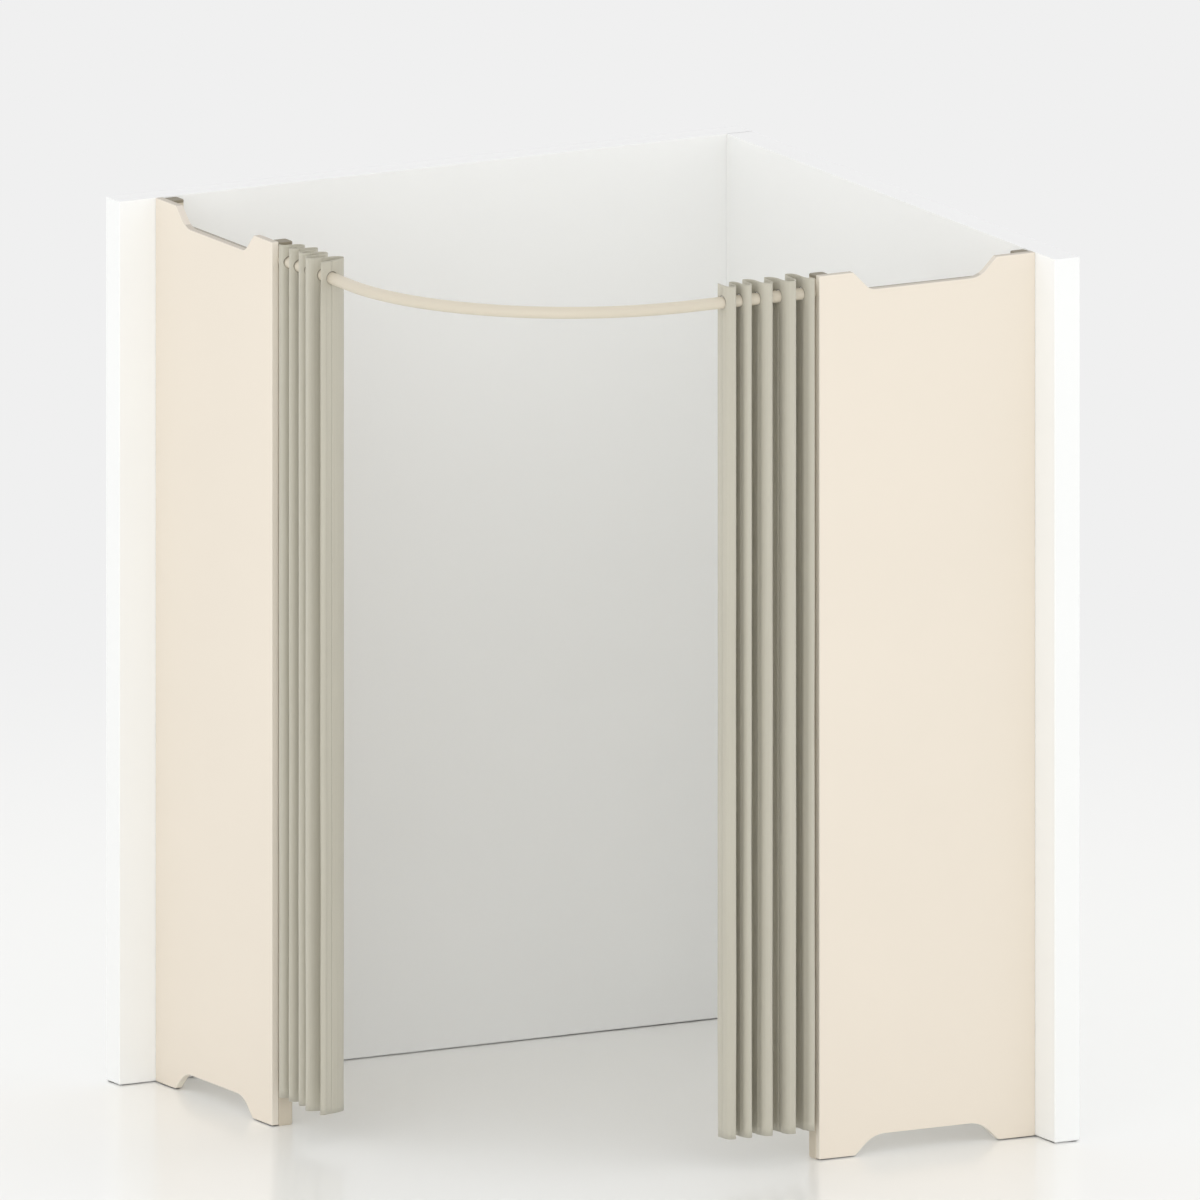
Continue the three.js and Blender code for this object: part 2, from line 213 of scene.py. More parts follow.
class Finish(Graph):
    """A material with one Principled shader."""

    def __init__(self, name, **uniform):
        self.material = bpy.data.materials.new(name)
        self.material.use_nodes = True
        super().__init__(self.material.node_tree)
        self.shader = self.tree.nodes["Principled BSDF"]
        self.surface(**uniform)

    def surface(self, **fed):
        """Feeds the shader's sockets by name and gives the material."""
        for socket, value in fed.items():
            self.feed(self.shader.inputs[socket.replace("_", " ")], value)
        return self.material

    def place(self):
        """Where a point lies on the object, in metres."""
        return self.node("TexCoord", {}, output="Object")

    def noise(self, place, size, detail=2.0):
        """Soft cloudy noise between 0 and 1, with clouds of about this size in metres."""
        return self.node("TexNoise", {}, Vector=place, Scale=1 / size, Detail=detail)

    def mix(self, factor, first, second):
        """One colour into another. The colours are the Mix node's seventh and eighth sockets."""
        colours = [value if isinstance(value, Signal) else (*value, 1) for value in (first, second)]
        return self.node("Mix", {"data_type": "RGBA"}, factor, *[None] * 5, *colours, output=2)

    def bump(self, heights, depth):
        """Raises the surface by heights times depth, in metres."""
        made = self.node("Bump", {}, Distance=depth, Height=heights)
        self.feed(self.shader.inputs["Normal"], made)


def linear(red, green, blue):
    """A colour as a paint chart gives it, from 0 to 255, into the light values that a shader uses: its
    share to the power of 2.4, nearly, and a straight line for the darkest values."""
    share = np.array((red, green, blue)) / 255
    return tuple(np.where(share <= 0.04045, share / 12.92, ((share + 0.055) / 1.055) ** 2.4).tolist())


print("a middle grey of 128 is", round(linear(128, 128, 128)[0], 3), "in light")


# %% [markdown]
# ## Finishes
#
# Most of the booth is smooth paint and laminate. Such faces are never perfectly even: the paint has a
# faint grain, the colour drifts by a percent or two, and the gloss is a little broken. Each finish
# therefore mixes two close colours with a large soft noise and adds a very shallow bump.


# %% Make the smooth finishes
CLOUD_SIZE = 0.35
DARKER_SHARE = 0.97
GLOSS_SPREAD = 0.08


def smooth_finish(name, colour, roughness, grain, depth):
    """Paint, laminate or moulded plastic. Its colour drifts towards a slightly darker one, and its grain
    is a fine noise of the given size and depth in millimetres."""
    finish = Finish(name)
    place = finish.place()
    clouds = finish.noise(place, CLOUD_SIZE)
    fine = finish.noise(place, grain * MM, detail=3.0)
    light = linear(*colour)
    darker = tuple(part * DARKER_SHARE for part in light)
    tint = finish.mix(clouds, light, darker)
    gloss = roughness + (fine - 0.5) * GLOSS_SPREAD
    finish.bump(fine, depth * MM)
    return finish.surface(Base_Color=tint, Roughness=gloss)


# Colour, roughness, and the size and depth of the grain.
SMOOTH_FINISHES = {
    "wall_white": ((251, 252, 251), 0.5, 4, 0.08),
    "board_cream": ((239, 229, 214), 0.48, 3, 0.1),
    "edge_cream": ((236, 228, 214), 0.55, 2, 0.12),
    # Painted shade: greyer and darker colours for the boards' sloping and level upper edges.
    "sloped_edge_shade": ((226, 217, 205), 0.55, 2, 0.12),
    "level_edge_shade": ((202, 194, 182), 0.7, 2, 0.12),
    # Painted shade: a slightly darker white for the walls' level tops.
    "frame_top_shade": ((246, 246, 246), 0.6, 3, 0.1),
    "post_cream": ((214, 204, 186), 0.42, 1.5, 0.12),
    "rail_cream": ((216, 207, 189), 0.38, 1.5, 0.08),
    "cap_brown": ((138, 130, 112), 0.55, 1.2, 0.15),
    "bar_grey": ((164, 157, 144), 0.55, 1.2, 0.15),
    # Painted shadow: dark brown for the undersides of the board feet.
    "painted_foot_shadow": ((92, 82, 70), 0.7, 2, 0.1),
}
smooth = {name: smooth_finish(name, *values) for name, values in SMOOTH_FINISHES.items()}
print("smooth finishes:", len(smooth))

# %% [markdown]
# The screws and bolts are zinc plated. Zinc is a bright metal whose colour and gloss are broken by a
# fine grain. The folded core is plain paperboard with short fibres, and a coarser noise gives them.


# %% Make the metal and the hidden finish
def grained_finish(name, colours, grain, detail, relief, roughness, **uniform):
    """A finish whose colour and roughness both follow one fine noise. Roughness is given as its lowest
    value and its spread."""
    finish = Finish(name, **uniform)
    fine = finish.noise(finish.place(), grain, detail=detail)
    tint = finish.mix(fine, *(linear(*colour) for colour in colours))
    finish.bump(fine, relief)
    low, spread = roughness
    return finish.surface(Base_Color=tint, Roughness=low + fine * spread if spread else low)


ZINC_COLOURS = (205, 206, 208), (172, 174, 178)
ZINC_ROUGHNESS = (0.26, 0.16)
PAPER_COLOURS = (188, 160, 122), (160, 132, 96)
PAPER_ROUGHNESS = (0.9, 0)
zinc = grained_finish("zinc", ZINC_COLOURS, 1.2 * MM, 4.0, 0.03 * MM, ZINC_ROUGHNESS, Metallic=1.0)
core_paper = grained_finish("core_paper", PAPER_COLOURS, 3 * MM, 6.0, 0.2 * MM, PAPER_ROUGHNESS)
print("roughness, lowest and spread:", ZINC_ROUGHNESS, "for zinc,", PAPER_ROUGHNESS, "for paper")

# %% [markdown]
# ## The curtain cloth
#
# The curtains are a heavy plain weave in a warm grey. The weave follows the cloth, so it reads the
# cloth's own UV map, which holds metres along the cloth and metres up it. Two crossed sine waves give
# the warp and the weft, and a noise drawn out upwards gives the uneven warp yarns. The edge of each
# rail hole is bound with a darker thread, which also stands in for the shade in the gap round the rail,
# and above the rail it is painted much darker: painted shade. Sheen lifts the edges of the folds as
# loose fibres do.


# %% Make the cloth
YARN = 1.4 * MM
BINDING = 1.8 * MM
BINDING_SOFT = 0.8 * MM
CLOTH_RELIEF = 0.3 * MM
# Changes per metre, along the cloth and up it.
YARN_CHANGES = (240, 1.6)
DRIFT_CHANGES = (6, 1.5)


def cloth_finish():
    """Warp times weft gives the weave. Yarns and drift are noises stretched upwards."""
    finish = Finish("curtain_cloth", Sheen_Weight=0.25, Sheen_Roughness=0.5)
    flat = finish.node("UVMap", {"uv_map": "cloth"})
    across = finish.node("SeparateXYZ", {}, flat, output="X")
    upward = finish.node("SeparateXYZ", {}, flat, output="Y")

    def streaks(changes, detail):
        place = finish.node("CombineXYZ", {}, across * changes[0], upward * changes[1])
        return finish.noise(place, 1.0, detail)

    weave = across.wave(YARN) * upward.wave(YARN)
    yarns = streaks(YARN_CHANGES, 3.0)
    drift = streaks(DRIFT_CHANGES, 2.0)
    shade = 0.3 * drift + 0.45 * yarns + 0.06 * weave
    tint = finish.mix(shade, linear(209, 205, 190), linear(184, 179, 163))
    from_hole = finish.node("Attribute", {"attribute_name": "from_hole"}, output="Fac")
    binding = 1 - from_hole.above(BINDING, BINDING_SOFT)
    # Painted shade: the binding turns much darker above the rail, where the gap round the rail is in shade.
    thread_and_gap_shade = 0.22 + 0.6 * upward.above(rail_axis_z, 0.02)
    bound = finish.mix(binding * thread_and_gap_shade, tint, linear(110, 103, 88))
    finish.bump(weave * 0.5 + yarns * 0.8 + binding, CLOTH_RELIEF)
    return finish.surface(Base_Color=bound, Roughness=0.92)


curtain_cloth = cloth_finish()
print("cloth yarn", round(YARN / MM, 2), "mm")

# %% [markdown]
# ## Meshes from arrays
#
# Every new piece is a grid of points worked out with numpy. A grid has rows and columns; either may
# close on itself, and the two ends may be capped with one face each.


# %% Write the mesh helpers
SHARP_TURN = 35
MERGE_REACH = 0.001 * MM


def grid_faces(rows, columns, close_rows, close_columns):
    """Quads between neighbouring points of a grid, as indices."""
    row = np.arange(rows if close_rows else rows - 1)[:, None]
    second = np.arange(columns if close_columns else columns - 1)[None, :]
    beside = (second + 1) % columns
    first = row * columns
    below = (row + 1) % rows * columns
    corners = [first + second, first + beside, below + beside, below + second]
    return np.stack(np.broadcast_arrays(*corners), axis=-1).reshape(-1, 4)


def piece(name, points, faces, material, sharp=SHARP_TURN):
    """A named object with its place in its mesh. Edges that turn by more than sharp degrees stay crisp."""
    mesh = bpy.data.meshes.new(name)
    mesh.from_pydata(points.reshape(-1, 3).tolist(), [], faces)
    mesh.validate()
    mesh.shade_smooth()
    mesh.set_sharp_from_angle(angle=math.radians(sharp))
    mesh.materials.append(material)
    made = bpy.data.objects.new(name, mesh)
    bpy.context.scene.collection.objects.link(made)
    return made


def capped(points):
    """Faces of a stack of closed rings, with one face over each end."""
    rows, columns = points.shape[:2]
    faces = grid_faces(rows, columns, False, True).tolist()
    last = (rows - 1) * columns
    faces.append(list(range(columns))[::-1])
    faces.append(list(range(last, last + columns)))
    return faces


def flip(faces, wanted):
    """The faces turned over, where that is wanted: in room coordinates one side is mirrored."""
    return [face[::-1] for face in faces] if wanted else faces


def merge_doubles(made, outwards=False):
    """Joins points that lie together and, if asked, turns every face outwards."""
    work = bmesh.new()
    work.from_mesh(made.data)
    bmesh.ops.remove_doubles(work, verts=work.verts, dist=MERGE_REACH)
    if outwards:
        bmesh.ops.recalc_face_normals(work, faces=work.faces)
    work.to_mesh(made.data)
    work.free()


print("a band of 4 rings with 6 points each has", len(grid_faces(4, 6, False, True)), "faces")


# %% [markdown]
# ## Rounded prisms
#
# Boards, walls, bars and caps are all an outline with a thickness. What makes them look real is the
# small rounding where the faces meet. The outline is carried up in rings: the first rings are inset
# along a quarter circle, the middle ones follow the outline, and the last ones are inset again. An
# extra ring just beyond each rounding keeps the large flat faces flat in the shading. A Bevel modifier
# rounds edges too, but with rings each edge has its own radius, and a wall's set-back foot is only two
# rings more.


# %% Write the outlines
SUPPORT = 0.6 * MM
ARC_STEPS = 5
FINE_ARC_STEPS = 8


def corner_arc(before, corner, after, radius, steps):
    """Points that round one corner of an outline: an arc that touches both sides, with one more point on
    each side next to its ends."""
    back = (before - corner) / np.linalg.norm(before - corner)
    ahead = (after - corner) / np.linalg.norm(after - corner)
    half = math.acos(float(np.clip(back @ ahead, -1, 1))) / 2
    reach = radius / math.tan(half)
    centre = corner + (back + ahead) / np.linalg.norm(back + ahead) * radius / math.sin(half)
    start = corner + back * reach - centre
    end = corner + ahead * reach - centre
    sweep = math.atan2(start[0] * end[1] - start[1] * end[0], start @ end)
    turn = np.linspace(0, sweep, steps + 1)[:, None]
    swung = np.cos(turn) * start + np.sin(turn) * np.array((-start[1], start[0])) + centre
    return np.vstack((corner + back * (reach + SUPPORT), swung, corner + ahead * (reach + SUPPORT)))


def rounded_outline(corners, radii, steps):
    """An anticlockwise outline through these corners, each rounded by its own radius."""
    corners = np.array(corners, float)
    count = len(corners)
    arcs = [
        corner_arc(corners[k - 1], corners[k], corners[(k + 1) % count], radii[k], steps)
        for k in range(count)
    ]
    return np.vstack(arcs)


def box_outline(low, high, radius, far_radius, steps=ARC_STEPS):
    """A rectangle, anticlockwise from its low corner, whose two corners at its high end have a radius of
    their own."""
    corners = [(low[0], low[1]), (high[0], low[1]), (high[0], high[1]), (low[0], high[1])]
    return rounded_outline(corners, [radius, radius, far_radius, far_radius], steps)


unit_square = box_outline((0, 0), (1, 1), 0.1, 0.1)
print("points of a rounded square:", len(unit_square))


# %% Write the prisms
EDGE_STEPS = 4


def inset_outline(outline, distances):
    """The outline moved inwards by each distance: along the mean of the two neighbouring sides' normals,
    lengthened at corners so that the sides keep their distance."""
    ahead = np.roll(outline, -1, axis=0) - outline
    ahead /= np.linalg.norm(ahead, axis=1, keepdims=True)
    behind = np.roll(ahead, 1, axis=0)
    inward = np.stack((-(ahead + behind)[:, 1], (ahead + behind)[:, 0]), axis=1)
    inward /= np.linalg.norm(inward, axis=1, keepdims=True)
    side_normal = np.stack((-ahead[:, 1], ahead[:, 0]), axis=1)
    inward /= np.sum(inward * side_normal, axis=1, keepdims=True)
    return outline[None] + np.asarray(distances)[:, None, None] * inward[None]


def stacked(outline, insets, heights):
    """Rings (rows, columns, 3): the outline moved inwards by each inset, with each height as its third
    number."""
    rings = inset_outline(outline, insets)
    level = np.broadcast_to(np.reshape(heights, (-1, 1, 1)), (*rings.shape[:2], 1))
    return np.concatenate((rings, level), axis=2)


def prism_rings(outline, low, high, low_round, high_round):
    """A prism from low to high, with a quarter circle at each end: while the inset goes with the cosine
    of a turn, the height goes with its sine."""
    turn = np.linspace(0, math.pi / 2, EDGE_STEPS + 1)
    low_inset = low_round * (1 - np.sin(turn))
    low_height = low + low_round * (1 - np.cos(turn))
    high_inset = high_round * (1 - np.cos(turn))
    high_height = high - high_round * (1 - np.sin(turn))
    middle = [low + low_round + SUPPORT, high - high_round - SUPPORT]
    insets = [[low_round + SUPPORT], low_inset, [0, 0], high_inset, [high_round + SUPPORT]]
    heights = [[low], low_height, middle, high_height, [high]]
    return stacked(outline, np.concatenate(insets), np.concatenate(heights))


print("rows, columns, numbers of a rounded cube:", prism_rings(unit_square, 0, 1, 0.1, 0.1).shape)

# %% [markdown]
# ## Partition walls
#
# Each wall is a hollow panel: a timber frame, two white skins and a folded paper core. From outside
# only a white slab shows, so one rounded slab stands for the skins and the frame, and the hidden core
# keeps its solid. The outline is the wall's plan, carried up from the floor. Its lowest strip is set
# back a few millimetres, so that a thin shadow parts the wall from the floor. Its top, where the
# frame's painted timber shows, is painted a slightly darker white as painted shade. The side wall
# butts against the back wall with nearly sharp corners, so that no groove shows where they meet.

# %% Build the walls
WALL_EDGE = 1.2 * MM
WALL_FOOT = 3 * MM
FOOT_INSET = 8 * MM
FOOT_HEIGHT = 2.6 * MM
WALL_CORNER = 2.4 * MM
BUTT_CORNER = 0.1 * MM
LEVEL = 0.9


def apply_modifiers(made):
    """Replaces an object's mesh by what its modifiers make of it."""
    depsgraph = bpy.context.evaluated_depsgraph_get()
    mesh = bpy.data.meshes.new_from_object(made.evaluated_get(depsgraph))
    made.modifiers.clear()
    made.data = mesh
    mesh.set_sharp_from_angle(angle=math.radians(SHARP_TURN))


def face_level(made, field):
    """The Z part of every face's "normal" (1 looks straight up, 0 sideways) or "center"."""
    numbers = np.zeros(len(made.data.polygons) * 3)
    made.data.polygons.foreach_get(field, numbers)
    return numbers[2::3]


def wall_panel(name, nodes, butt):
    """A slab round these solids. Where it butts against the other wall its corners are nearly sharp."""
    lows, highs = zip(*(limits(node) for node in nodes))
    low, high = np.min(lows, axis=0), np.max(highs, axis=0)
    far_corner = BUTT_CORNER if butt else WALL_CORNER
    outline = box_outline(low[:2], high[:2], WALL_CORNER, far_corner)
    slab = prism_rings(outline, low[2] + FOOT_HEIGHT, high[2], WALL_FOOT, WALL_EDGE)
    foot = stacked(outline, [FOOT_INSET, FOOT_INSET], [low[2], low[2] + FOOT_HEIGHT])
    rings = np.concatenate((foot, slab))
    panel = piece(name, rings, capped(rings), smooth["wall_white"])
    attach(panel, "booth")
    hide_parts(*nodes)
    return panel


def wall_nodes(wall):
    """The solids that one slab stands for."""
    return [f"{wall}_{part}" for part in ("inner_skin", "outer_skin", "frame")]


back_panel = wall_panel("back_wall_panel", wall_nodes("back_wall"), butt=False)
side_panel = wall_panel("side_wall_panel", wall_nodes("side_wall"), butt=True)
print("wall panels:", back_panel.name, side_panel.name)

# %% [markdown]
# The corner bolts pass through the back wall and their heads are sunk below its outer face. The slab
# gets a round recess for each head, cut with a boolean, because a hole in a flat face is the one shape
# that is easier to cut than to lay out as a grid.

# %% Sink the bolt heads
BOLTS = [f"corner_bolt_{k}" for k in (1, 2, 3)]
RECESS_GAP = 0.4 * MM
RECESS_DEPTH = 7 * MM
RECESS_SIDES = 48


def recess_cutters():
    """One closed drum per bolt, from outside the wall to the recess's floor."""
    turn = np.linspace(0, 2 * math.pi, RECESS_SIDES, endpoint=False)
    outer_face = limits("back_wall_outer_skin")[1][1]
    points, faces = [], []
    for bolt in BOLTS:
        low, high = limits(bolt)
        middle = (low + high) / 2
        radius = (high[2] - low[2]) / 2 + RECESS_GAP
        ring = np.stack((middle[0] + radius * np.cos(turn), middle[2] + radius * np.sin(turn)), axis=1)
        depths = np.array((outer_face + RECESS_DEPTH, outer_face - RECESS_DEPTH))
        drum = np.stack([np.insert(ring, 1, depth, axis=1) for depth in depths])
        offset = sum(len(part) for part in points)
        points.append(drum.reshape(-1, 3))
        faces += [[offset + corner for corner in face] for face in capped(drum)]
    return np.vstack(points), faces


cutter_points, cutter_faces = recess_cutters()
cutter = piece("recess_cutter", cutter_points, cutter_faces, smooth["wall_white"])
recess = back_panel.modifiers.new("recess", "BOOLEAN")
recess.operation = "DIFFERENCE"
recess.solver = "EXACT"
recess.object = cutter
apply_modifiers(back_panel)
bpy.data.objects.remove(cutter)
for panel in (back_panel, side_panel):
    # Painted shade: the level top faces get the slightly darker white.
    panel.data.materials.append(smooth["frame_top_shade"])
    level = face_level(panel, "normal") > LEVEL
    panel.data.polygons.foreach_set("material_index", level.astype(int))
print("back wall faces:", len(back_panel.data.polygons))

# %% [markdown]
# ## Side boards
#
# A side board is a cream panel with a cut-out in its top edge and another in its bottom edge. Each
# end of a cut-out falls away at 45 degrees and runs into its floor on an arc. The outline lists the
# corners once, each with its own rounding, and the prism gives the edges their small radius. The upper
# edges are painted greyer, and darker still where they are level, as painted shade. The feet's
# undersides are painted dark brown as painted shadow at the floor. The posts hold the board a hair
# clear of the floor, which draws a fine dark line.

# %% Build the side boards
BOARD_EDGE = 1.4 * MM
BOARD_LIFT = 2.4 * MM
BOARD_CORNER = 2.4 * MM
EAR_CORNER = 5 * MM
TOP_FRONT_EAR = 94 * MM
TOP_WALL_EAR = 106 * MM
TOP_DEPTH = 47 * MM
TOP_FRONT_FILLET = 32 * MM
TOP_WALL_FILLET = 62 * MM
BOTTOM_EAR = 100 * MM
BOTTOM_DEPTH = 50 * MM
BOTTOM_FILLET = 80 * MM
SLOPING = 0.3
FACING_DOWN = -0.8


def board_outline(front, back, top):
    """The board's outline, anticlockwise: along the bottom to the wall, up, and back along the top."""
    rounded_corners = [
        ((front, BOARD_LIFT), BOARD_CORNER),
        ((front + BOTTOM_EAR, BOARD_LIFT), EAR_CORNER),
        ((front + BOTTOM_EAR + BOTTOM_DEPTH, BOTTOM_DEPTH), BOTTOM_FILLET),
        ((back - BOTTOM_EAR - BOTTOM_DEPTH, BOTTOM_DEPTH), BOTTOM_FILLET),
        ((back - BOTTOM_EAR, BOARD_LIFT), EAR_CORNER),
        ((back, BOARD_LIFT), BOARD_CORNER),
        ((back, top), BOARD_CORNER),
        ((back - TOP_WALL_EAR, top), EAR_CORNER),
        ((back - TOP_WALL_EAR - TOP_DEPTH, top - TOP_DEPTH), TOP_WALL_FILLET),
        ((front + TOP_FRONT_EAR + TOP_DEPTH, top - TOP_DEPTH), TOP_FRONT_FILLET),
        ((front + TOP_FRONT_EAR, top), EAR_CORNER),
        ((front, top), BOARD_CORNER),
    ]
    corners, radii = zip(*rounded_corners)
    return rounded_outline(corners, radii, FINE_ARC_STEPS)


def side_board(side):
    """The board, with a finish for each kind of edge: 0 is the flat face, 1 upright edges, 2 sloping and
    3 level upper edges, which are darker as painted shade, and 4 the feet's undersides, dark as painted
    shadow."""
    outline = board_outline(board_front, board_high[0], height)
    rings = prism_rings(outline, board_inner, board_outer, BOARD_EDGE, BOARD_EDGE)
    deep, up, out = rings[..., 0], rings[..., 1], rings[..., 2]
    points = in_room(side, board_front - deep, out, up)
    board = piece(f"{side}_board", points, flip(capped(rings), side == "left"), smooth["board_cream"])
    for edging in ("edge_cream", "sloped_edge_shade", "level_edge_shade", "painted_foot_shadow"):
        board.data.materials.append(smooth[edging])
    upward = face_level(board, "normal")
    # Painted shadow: the feet's undersides, near the floor, get the dark brown.
    underside = (upward < FACING_DOWN) & (face_level(board, "center") < 2 * BOARD_LIFT)
    rim = np.arange(len(upward)) < (rings.shape[0] - 1) * rings.shape[1]
    # Painted shade: the more an upper edge looks up, the darker its colour.
    index = 1 + (upward > SLOPING) + (upward > LEVEL) + 3 * underside
    board.data.polygons.foreach_set("material_index", rim * index)
    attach(board, "booth")
    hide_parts(f"{side}_side_board")
    return board


boards = [side_board(side) for side in SIDES]
print("side boards:", [board.name for board in boards])

# %% [markdown]
# ## Posts, caps and tie bars
#
# The posts are square steel tubes. Their two corners beside the board are crisp and the two others
# are round. Each tube is a closed skin: up the outside, over the top edge, down the inside and under
# the bottom edge. One box cut out of another would be hollow as well, but a skin made in one go has
# clean edges. At its foot the tube is a little narrower, which keeps a dark line at the floor. A
# plastic cap with a chamfered top closes it.

# %% Build the posts
POST_WALL = 2 * MM
POST_CRISP = 3 * MM
POST_ROUND = 8 * MM
TUBE_EDGE = 0.5 * MM
TUBE_FOOT_INSET = 1.5 * MM


def side_box(side, node):
    """The lowest and highest corner of a solid, as (along, out, z)."""
    low, high = limits(node)
    deep, across = (1, 0) if side == "left" else (0, 1)
    lowest = (board_front - high[deep], -high[across], low[2])
    return lowest, (board_front - low[deep], -low[across], high[2])


def post_outline(low, high, inset):
    """The tube's section: its two corners towards the booth's middle are round and the two beside the
    board are crisp. Inside the wall the radii shrink by the inset."""
    rounding, crisp = [max(radius - inset, POST_CRISP / 4) for radius in (POST_ROUND, POST_CRISP)]
    return box_outline(np.add(low, inset), np.subtract(high, inset), rounding, crisp, FINE_ARC_STEPS)


def tube_rings(low, high):
    """Rings up the outside and down the inside of a square tube, to be closed on themselves."""
    bottom, top = low[2], high[2]
    foot = bottom + FOOT_HEIGHT
    shoulder = foot + TUBE_EDGE
    rim = top - TUBE_EDGE
    insets = [TUBE_FOOT_INSET, TUBE_FOOT_INSET, TUBE_EDGE, 0, 0, 0, 0, TUBE_EDGE]
    heights = [bottom, foot, foot, shoulder, shoulder + SUPPORT, rim - SUPPORT, rim, top]
    outside = stacked(post_outline(low, high, 0), insets, heights)
    return np.concatenate((outside, stacked(post_outline(low, high, POST_WALL), [0, 0], [top, bottom])))


def post(side, end):
    """The tube of one post."""
    node = f"{side}_{end}_post"
    rings = tube_rings(*side_box(side, node))
    points = in_room(side, *np.moveaxis(rings, -1, 0))
    faces = grid_faces(rings.shape[0], rings.shape[1], True, True).tolist()
    made = piece(f"{side}_{end}_tube", points, flip(faces, side == "left"), smooth["post_cream"])
    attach(made, "booth")
    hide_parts(node)
    return made


posts = [post(side, end) for side in SIDES for end in ("wall", "front")]
print("posts:", len(posts))

# %% Close the posts
CAP_CHAMFER = 1.6 * MM
CAP_FOOT = 0.4 * MM


def post_cap(side, end):
    """Rings up the cap's rim and over its chamfered top, with the post's own outline."""
    node = f"{side}_{end}_post_cap"
    low, high = side_box(side, f"{side}_{end}_post")
    foot = high[2]
    top = limits(node)[1][2]
    insets = [CAP_FOOT + SUPPORT, CAP_FOOT, 0, 0, 0, CAP_CHAMFER, CAP_CHAMFER + SUPPORT]
    heights = [foot, foot, foot + CAP_FOOT, foot + CAP_FOOT + SUPPORT, top - CAP_CHAMFER, top, top]
    rings = stacked(post_outline(low, high, 0), insets, heights)
    points = in_room(side, *np.moveaxis(rings, -1, 0))
    made = piece(f"{side}_{end}_cap", points, flip(capped(rings), side == "left"), smooth["cap_brown"])
    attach(made, "booth")
    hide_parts(node)
    return made


caps = [post_cap(side, end) for side in SIDES for end in ("wall", "front")]
print("caps:", len(caps))

# %% [markdown]
# A flat steel bar ties the two posts of a board together, level with the floor of the board's top
# cut-out. It is one more rounded prism, laid on its side: its section is the outline, and its length
# is the thickness.

# %% Build the tie bars
BAR_EDGE = 0.6 * MM
BAR_CORNER = 1.4 * MM


def tie_bar(side):
    """A flat bar between the posts, carried along its length."""
    node = f"{side}_tie_bar"
    low, high = side_box(side, node)
    outline = box_outline(low[1:], high[1:], BAR_CORNER, BAR_CORNER)
    rings = prism_rings(outline, low[0], high[0], BAR_EDGE, BAR_EDGE)
    points = in_room(side, rings[..., 2], rings[..., 0], rings[..., 1])
    made = piece(f"{side}_bar", points, flip(capped(rings), side == "left"), smooth["bar_grey"])
    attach(made, "booth")
    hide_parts(node)
    return made


bars = [tie_bar(side) for side in SIDES]
print("tie bars:", len(bars))

# %% [markdown]
# ## Curtain rail
#
# The rail is one bent tube: straight from the left post, a quarter circle round the open corner, and
# straight to the right post. A curve with a round bevel would give a tube without a bore. Here a
# circle is carried along the line, out along the outside of the tube and back along its bore, so that
# the ends are open as on real tube.

# %% Build the rail
RAIL_STRAIGHT = 352 * MM
RAIL_WALL = 2 * MM
RAIL_SIDES = 48
BEND_STEPS = 72
rail_end = limits("curtain_rail")[1][0]
rail_bend = rail_axis_out + board_front - RAIL_STRAIGHT


def rail_line():
    """Points and directions of the rail's axis, from the left end to the right end."""
    centre = board_front - RAIL_STRAIGHT
    turn = np.linspace(0, math.pi / 2, BEND_STEPS + 1)
    bend = np.stack((centre - rail_bend * np.cos(turn), centre - rail_bend * np.sin(turn)), axis=1)
    heading = np.stack((np.sin(turn), -np.cos(turn)), axis=1)
    line = np.vstack(([(-rail_axis_out, rail_end)], bend, [(rail_end, -rail_axis_out)]))
    return line, np.vstack((heading[:1], heading, heading[-1:]))


def rail_rings(radius, line, heading):
    """Circles square to the line: sideways is level, up is Z."""
    turn = np.linspace(0, 2 * math.pi, RAIL_SIDES, endpoint=False)
    sideways = np.stack((-heading[:, 1], heading[:, 0]), axis=1)
    plan = line[:, None] + sideways[:, None] * (radius * np.cos(turn))[None, :, None]
    level = np.broadcast_to(rail_axis_z + radius * np.sin(turn), plan.shape[:2])
    return np.concatenate((plan, level[..., None]), axis=2)


def curtain_rail():
    """The tube's skin: rings along the outside, then back along the bore, closed on themselves."""
    line, heading = rail_line()
    outside = rail_rings(rail_radius, line, heading)
    bore = rail_rings(rail_radius - RAIL_WALL, line, heading)[::-1]
    rings = np.concatenate((outside, bore))
    faces = grid_faces(rings.shape[0], RAIL_SIDES, True, True).tolist()
    made = piece("bent_rail", rings, faces, smooth["rail_cream"])
    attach(made, "booth")
    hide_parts("curtain_rail")
    return made


rail = curtain_rail()
print(rail.name, "has a bend radius of", round(rail_bend, 4))

# %% [markdown]
# ## Screws and bolts
#
# The screws have a domed head with a hexagonal socket. Spinning a profile would make the head, but not
# its six-sided socket. So a screw is a grid round its axis: up the shank, out under the head, over the
# dome, and down into the socket, whose rings are hexagons.

# %% Shape the screws
SCREW_SIDES = 48
DOME_STEPS = 6
# Shares of the head's radius.
HEAD_HEIGHT = 0.62
DOME_RIM = 0.62
UNDERSIDE = 0.96
SHANK = 0.44
SOCKET = 0.42
# The tip's share of the shank, and the chamfer's of the socket's width.
TIP = 0.4
CHAMFER = 1.06
# Shares of the head's height: the chamfer's lower edge, the socket's floor and the middle of that floor.
CHAMFER_FOOT = 0.96
SOCKET_FLOOR = 0.4
SOCKET_MIDDLE = 0.32


def hexagon(turn):
    """The distance to the side of a hexagon of half-width 1, in the direction of each turn."""
    sector = math.pi / 3
    return 1 / np.cos((turn + sector / 2) % sector - sector / 2)


